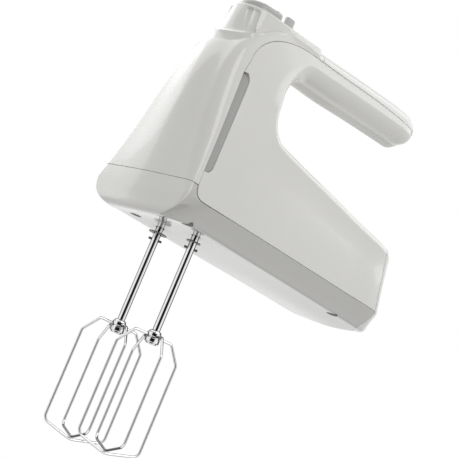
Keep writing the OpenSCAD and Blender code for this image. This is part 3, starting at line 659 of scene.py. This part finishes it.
def rounded(a, p, b, r, n):
    """Points of an arc that rounds the corner at p, between the directions of a and b."""
    a, p, b = Vector(a), Vector(p), Vector(b)
    u, v = (a - p).normalized(), (b - p).normalized()
    half = math.acos(max(-1, min(1, u.dot(v)))) / 2
    c = p + (u + v).normalized() * r / math.sin(half)
    s, e = p + u * r / math.tan(half), p + v * r / math.tan(half)
    return [tuple(c + (s.lerp(e, k / n) - c).normalized() * r) for k in range(n + 1)]


def tube(name, path, r, n=16):
    """Round wire along a path that lies in one vertical plane through its first and last point."""
    rings = []
    side = Vector((0, 1, 0))
    for i, p in enumerate(path):
        a, b = Vector(path[max(0, i - 1)]), Vector(path[min(len(path) - 1, i + 1)])
        out = (b - a).normalized().cross(side)
        turns = [2 * math.pi * k / n for k in range(n)]
        rings.append([tuple(Vector(p) + r * (out * math.cos(t) + side * math.sin(t))) for t in turns])
    return skin(name, rings)


def wire_loop(name, y, turn, lift):
    """One bent wire: out of the hub, down the cage, under it and up the other side."""
    tip = (0, CAGE_LOW + WIRE_R + lift)
    kink, shoulder = (KINK_R, KINK_Z), (CAGE_R, SHOULDER_Z)
    corner = (CAGE_R, CAGE_LOW + CORNER_RISE + lift)
    half = [(WIRE_ROOT_R, KINK_Z)] + rounded((0, KINK_Z), kink, shoulder, KINK_BEND, 6)
    half += rounded(kink, shoulder, corner, SHOULDER_BEND, 6)
    half += rounded(shoulder, corner, tip, CORNER_BEND, 10)
    foot = rounded(corner, tip, (-corner[0], corner[1]), TIP_BEND, 8)
    path = half + foot + [(-r, z) for r, z in half[::-1]]
    return moved(tube(name, [(r, 0, z) for r, z in path], WIRE_R), 0, y, 0, PHASE + turn)


def shaft(name, y):
    profile = [(0, SHAFT_TOP), (1.9, SHAFT_TOP), (SHAFT_R, SHAFT_TOP - 0.6), (SHAFT_R, SHAFT_LOW),
               (0, SHAFT_LOW)]
    return lathe(name, profile, 48, (0, y))


def washer(name, y, r):
    """The thin flange that stops the shaft at its socket."""
    bore = SHAFT_R - 0.1
    profile = [(bore, FLANGE_Z + 0.35), (r - 0.2, FLANGE_Z + 0.3), (r, FLANGE_Z + 0.1), (r, FLANGE_Z - 0.1),
               (r - 0.2, FLANGE_Z - 0.3), (bore, FLANGE_Z - 0.35), (bore, FLANGE_Z + 0.35)]
    return lathe(name, profile, 48, (0, y))


def ear(name, y):
    """The cross pin below the flange, with rounded ends."""
    tip_r, tip = EAR_R - 0.25, EAR_HALF - 0.3
    bar = lathe(name, [(0, -EAR_HALF), (tip_r, -EAR_HALF), (EAR_R, -tip), (EAR_R, tip), (tip_r, EAR_HALF),
                       (0, EAR_HALF)], 20)
    moved(bar, turn=90, axis="Y")
    return moved(bar, 0, y, EAR_Z, EAR_TURN)


def hub(name, y):
    profile = [(r, HUB_LOW + rise) for r, rise in HUB_PROFILE]
    profile += [(3.7, HUB_HIGH - 0.2), (3.4, HUB_HIGH), (0, HUB_HIGH)]
    return lathe(name, profile, 48, (0, y))


SPINDLE_LOW, SPINDLE_HIGH = 1.2, high("spindle_left")[2]
SLEEVE_BORE, SLEEVE_R = 2.7, 5.6


def sleeve(name, y):
    """The plain sleeve that takes the beater's shaft, above the hole in the base."""
    profile = [(SLEEVE_BORE, SPINDLE_LOW), (SLEEVE_R - 0.3, SPINDLE_LOW), (SLEEVE_R, SPINDLE_LOW + 0.3),
               (SLEEVE_R, SPINDLE_HIGH), (SLEEVE_BORE, SPINDLE_HIGH), (SLEEVE_BORE, SPINDLE_LOW)]
    return lathe(name, profile, 48, (0, y))


spindles = {word: sleeve(f"spindle_sleeve_{word}", side * BEATER_Y)
            for word, side in (("left", -1), ("right", 1))}
beaters = {}
for word, y in (("left", -BEATER_Y), ("right", BEATER_Y)):
    rod = shaft(f"beater_shaft_{word}", y)
    flange = washer(f"beater_flange_{word}", y, FLANGE_R[word])
    pin = ear(f"beater_ears_{word}", y)
    collar = hub(f"whisk_hub_{word}", y)
    loops = [wire_loop(f"whisk_loop_{word}_a", y, 0, 0),
             wire_loop(f"whisk_loop_{word}_b", y, 90, 2 * WIRE_R + 0.1)]
    beaters[word] = [rod, pin, flange, collar] + loops


# ---------- materials ----------
def material(name, base, metallic, roughness):
    mat = bpy.data.materials.new(name)
    mat.use_nodes = True
    bsdf = mat.node_tree.nodes["Principled BSDF"]
    bsdf.inputs["Base Color"].default_value = (*base, 1)
    bsdf.inputs["Metallic"].default_value = metallic
    bsdf.inputs["Roughness"].default_value = roughness
    return mat, mat.node_tree.nodes, mat.node_tree.links, bsdf


def noise(nodes, links, scale, detail=3.0):
    where = nodes.new("ShaderNodeTexCoord")
    tex = nodes.new("ShaderNodeTexNoise")
    tex.inputs["Scale"].default_value = scale
    tex.inputs["Detail"].default_value = detail
    links.new(where.outputs["Object"], tex.inputs["Vector"])
    return tex


def spread(nodes, links, source, low_value, high_value):
    """A 0 to 1 value mapped to a range."""
    node = nodes.new("ShaderNodeMapRange")
    node.inputs["To Min"].default_value = low_value
    node.inputs["To Max"].default_value = high_value
    links.new(source, node.inputs["Value"])
    return node.outputs["Result"]


def tinted(nodes, links, source, dark, light):
    """A 0 to 1 value mapped to a colour between two."""
    mix = nodes.new("ShaderNodeMix")
    mix.data_type = "RGBA"
    mix.inputs[6].default_value = (*dark, 1)
    mix.inputs[7].default_value = (*light, 1)
    links.new(source, mix.inputs[0])
    return mix.outputs[2]


def plastic(name, base, roughness, grain_scale=900, grain=0.02, edge=0.35, coat=0.0):
    """Moulded plastic: fine grain, slightly uneven gloss and softly rounded edges."""
    mat, nodes, links, bsdf = material(name, base, 0, roughness)
    bsdf.inputs["Coat Weight"].default_value = coat
    bsdf.inputs["Coat Roughness"].default_value = 0.05
    cloud = noise(nodes, links, 25).outputs["Fac"]
    colour = tinted(nodes, links, cloud, [c * 0.98 for c in base], base)
    links.new(colour, bsdf.inputs["Base Color"])
    gloss = spread(nodes, links, cloud, roughness * 0.9, roughness * 1.1)
    links.new(gloss, bsdf.inputs["Roughness"])
    fine = noise(nodes, links, grain_scale, 2)
    bump = nodes.new("ShaderNodeBump")
    bump.inputs["Strength"].default_value = grain
    bump.inputs["Distance"].default_value = 0.0002
    bevel = nodes.new("ShaderNodeBevel")
    bevel.samples = 4
    bevel.inputs["Radius"].default_value = edge * MM
    links.new(fine.outputs["Fac"], bump.inputs["Height"])
    links.new(bevel.outputs["Normal"], bump.inputs["Normal"])
    links.new(bump.outputs["Normal"], bsdf.inputs["Normal"])
    return mat


# Painted reflection on the chrome, from facing the viewer to edge on: where each painted shade sits.
# It stands for a studio's dark and pale strips, which the lights here don't have.
PAINTED_REFLECTION_STOPS = ((0.035, 0.01), (0.07, 0.8), (0.3, 0.85), (0.42, 0.05))


def chrome_with_painted_reflection(name):
    """Bright metal whose base colour, set by how squarely it faces the viewer, paints a reflection of a dark
    strip, a pale one and dark edges.
    """
    mat, nodes, links, bsdf = material(name, (0.8, 0.8, 0.82), 1, 0.12)
    facing = nodes.new("ShaderNodeLayerWeight")
    facing.inputs["Blend"].default_value = 0.5
    painted_reflection_ramp = nodes.new("ShaderNodeValToRGB")
    painted_reflection_ramp.color_ramp.interpolation = "EASE"
    stops = painted_reflection_ramp.color_ramp.elements
    stops[0].position, stops[0].color = 0.0, (0.01, 0.01, 0.012, 1)
    stops[1].position, stops[1].color = 1.0, (0.05, 0.05, 0.055, 1)
    for at, shade in PAINTED_REFLECTION_STOPS:
        stop = stops.new(at)
        stop.color = (shade, shade, shade, 1)
    # The facing ramp paints the reflection into the base colour.
    links.new(facing.outputs["Facing"], painted_reflection_ramp.inputs["Fac"])
    links.new(painted_reflection_ramp.outputs["Color"], bsdf.inputs["Base Color"])
    smear = noise(nodes, links, 400).outputs["Fac"]
    links.new(spread(nodes, links, smear, 0.08, 0.16), bsdf.inputs["Roughness"])
    return mat


def metal(name, base, roughness, stretch=(1, 1, 1)):
    """Machined or cast metal with fine streaks."""
    mat, nodes, links, bsdf = material(name, base, 1, roughness)
    tex = noise(nodes, links, 300)
    mapping = nodes.new("ShaderNodeMapping")
    mapping.inputs["Scale"].default_value = stretch
    links.new(tex.inputs["Vector"].links[0].from_socket, mapping.inputs["Vector"])
    links.new(mapping.outputs["Vector"], tex.inputs["Vector"])
    streak = tex.outputs["Fac"]
    colour = tinted(nodes, links, streak, [c * 0.75 for c in base], base)
    links.new(colour, bsdf.inputs["Base Color"])
    gloss = spread(nodes, links, streak, roughness * 0.8, roughness * 1.3)
    links.new(gloss, bsdf.inputs["Roughness"])
    return mat


MATERIALS = {
    "white_plastic": plastic("white_plastic", (0.72, 0.715, 0.69), 0.16, edge=0.6, coat=0.5),
    "grey_plastic": plastic("grey_plastic", (0.47, 0.47, 0.46), 0.3),
    "dark_grey_plastic": plastic("dark_grey_plastic", (0.42, 0.42, 0.41), 0.5),
    "black_plastic": plastic("black_plastic", (0.03, 0.03, 0.035), 0.5),
    "nylon": plastic("nylon", (0.75, 0.72, 0.58), 0.45),
    "carbon": plastic("carbon", (0.02, 0.02, 0.02), 0.7, 400, 0.2),
    "rubber": plastic("rubber", (0.03, 0.03, 0.03), 0.75, 500, 0.15),
    "chrome": chrome_with_painted_reflection("chrome"),
    "steel": metal("steel", (0.6, 0.61, 0.63), 0.3, (1, 1, 0.05)),
    "lamination_steel": metal("lamination_steel", (0.35, 0.36, 0.38), 0.4, (12, 0.2, 0.2)),
    "aluminium": metal("aluminium", (0.7, 0.71, 0.73), 0.4),
    "bronze": metal("bronze", (0.65, 0.48, 0.24), 0.4),
    "copper": metal("copper", (0.62, 0.26, 0.12), 0.35, (0.3, 6, 6)),
}
# Painted shade: a darker copy of the white plastic, for the base with its strip and bottom.
SHADED_WHITE_PLASTIC = plastic("shaded_white_plastic", (0.57, 0.565, 0.545), 0.16, edge=0.6, coat=0.5)
SCREW_STEEL = metal("screw_steel", (0.12, 0.12, 0.125), 0.35)


def dress(obj, body, slot, *nodes, mat=None):
    """Material, body, record slot and the CAD nodes that the piece stands for."""
    obj.data.materials.clear()
    obj.data.materials.append(mat or MATERIALS[slot])
    smooth(obj)
    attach(obj, body)
    if nodes:
        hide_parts(*nodes)


slots = {s["node"]: s["material_slot"] for s in frame["record"]["subparts"]}
for node, obj in frame["nodes"].items():
    obj.data.materials.clear()
    obj.data.materials.append(MATERIALS[slots[node]])

dress(nose, "housing", "white_plastic", "front_shell")
dress(chin, "housing", "white_plastic", "chin_cap")
dress(left, "housing", "white_plastic", "left_housing")
dress(right, "housing", "white_plastic", "right_housing")
dress(cover, "housing", "white_plastic", "handle_cover")
# The base is the white plastic, given the darker copy: painted shade.
dress(base, "housing", "white_plastic", "base_cover", mat=SHADED_WHITE_PLASTIC)
dress(heel, "housing", "white_plastic", "heel_cap")
dress(vents[0], "housing", "dark_grey_plastic", "vent_left")
dress(vents[1], "housing", "dark_grey_plastic", "vent_right")
dress(lid, "eject", "grey_plastic", "eject_button")
dress(knob, "slider", "grey_plastic", "speed_slider")
dress(shoe, "slider", "grey_plastic")
for head in screws:
    dress(head, "housing", "steel", "base_screws", mat=SCREW_STEEL)
for word, spindle in spindles.items():
    dress(spindle, f"spindle_{word[0]}", "steel", f"spindle_{word}")
for word, pieces in beaters.items():
    rod, pin, flange, collar, loop_a, loop_b = pieces
    body = f"beater_{word[0]}"
    dress(rod, body, "chrome", f"beater_{word}")
    dress(pin, body, "chrome", mat=SCREW_STEEL)
    dress(flange, body, "chrome", mat=SCREW_STEEL)
    dress(collar, body, "chrome", f"hub_{word}")
    dress(loop_a, body, "chrome", f"loop_a_{word}")
    dress(loop_b, body, "chrome", f"loop_b_{word}")

# ---------- camera, light and background ----------
# The picture's right and down directions, the line of sight and the camera's place.
RIGHT = Vector((0.62139, -0.68500, 0.38032))
DOWN = Vector((0.38528, -0.15553, -0.90960))
FORWARD = RIGHT.cross(DOWN)
EYE = Vector((-676.04, -747.68, -156.02)) * MM
SENSOR, LENS = 36, 125.7642
AIM = Vector((0.06, 0, 0.05))  # the point that the lamps face, in metres


def look(right, up, back, place):
    """The matrix of something at a place, from the directions of its own axes."""
    turn = Matrix((right, up, back)).transposed().to_4x4()
    return Matrix.Translation(place) @ turn


camera_data = bpy.data.cameras.new("camera")
camera_data.sensor_width = SENSOR
camera_data.lens = LENS
camera_data.clip_start = 0.05
camera = bpy.data.objects.new("camera", camera_data)
camera.matrix_world = look(RIGHT, -DOWN, -FORWARD, EYE)
bpy.context.scene.collection.objects.link(camera)
bpy.context.scene.camera = camera


def lamp(name, offset, size, power):
    """An area lamp off the object's middle, by right, up and towards the camera, in metres."""
    place = AIM + RIGHT * offset[0] - DOWN * offset[1] - FORWARD * offset[2]
    data = bpy.data.lights.new(name, "AREA")
    data.shape = "DISK"
    data.size = size
    data.energy = power
    lamp_object = bpy.data.objects.new(name, data)
    back = (place - AIM).normalized()
    side = back.orthogonal().normalized()
    lamp_object.matrix_world = look(side, back.cross(side), back, place)
    bpy.context.scene.collection.objects.link(lamp_object)


lamp("key", (-0.3, 0.9, -0.6), 1.8, 8.4)
lamp("left", (-0.95, 0.5, -0.6), 1.1, 3.6)
lamp("right", (1.0, 0.3, -0.5), 0.8, 2.1)
lamp("fill", (0.9, 0.4, 0.6), 0.8, 2.7)


def background(nodes, strength):
    node = nodes.new("ShaderNodeBackground")
    node.inputs["Color"].default_value = (1, 1, 1, 1)
    node.inputs["Strength"].default_value = strength
    return node


def either(nodes, links, first, second):
    """1 where either of two values is 1."""
    node = nodes.new("ShaderNodeMath")
    node.operation = "MAXIMUM"
    links.new(first, node.inputs[0])
    links.new(second, node.inputs[1])
    return node.outputs["Value"]


world = bpy.data.worlds.new("world")
bpy.context.scene.world = world
world.use_nodes = True
nodes, links = world.node_tree.nodes, world.node_tree.links
backdrop = nodes["Background"]  # plain white, as seen and as mirrored
backdrop.inputs["Color"].default_value = (1, 1, 1, 1)
backdrop.inputs["Strength"].default_value = 1
glow = background(nodes, 0.56)  # the light that it casts on matt surfaces
path = nodes.new("ShaderNodeLightPath")
seen = either(nodes, links, path.outputs["Is Camera Ray"], path.outputs["Is Transmission Ray"])
seen_or_mirrored = either(nodes, links, seen, path.outputs["Is Glossy Ray"])
mix = nodes.new("ShaderNodeMixShader")
links.new(seen_or_mirrored, mix.inputs["Fac"])
links.new(glow.outputs["Background"], mix.inputs[1])
links.new(backdrop.outputs["Background"], mix.inputs[2])
links.new(mix.outputs["Shader"], nodes["World Output"].inputs["Surface"])
bpy.context.scene.view_settings.view_transform = "Standard"
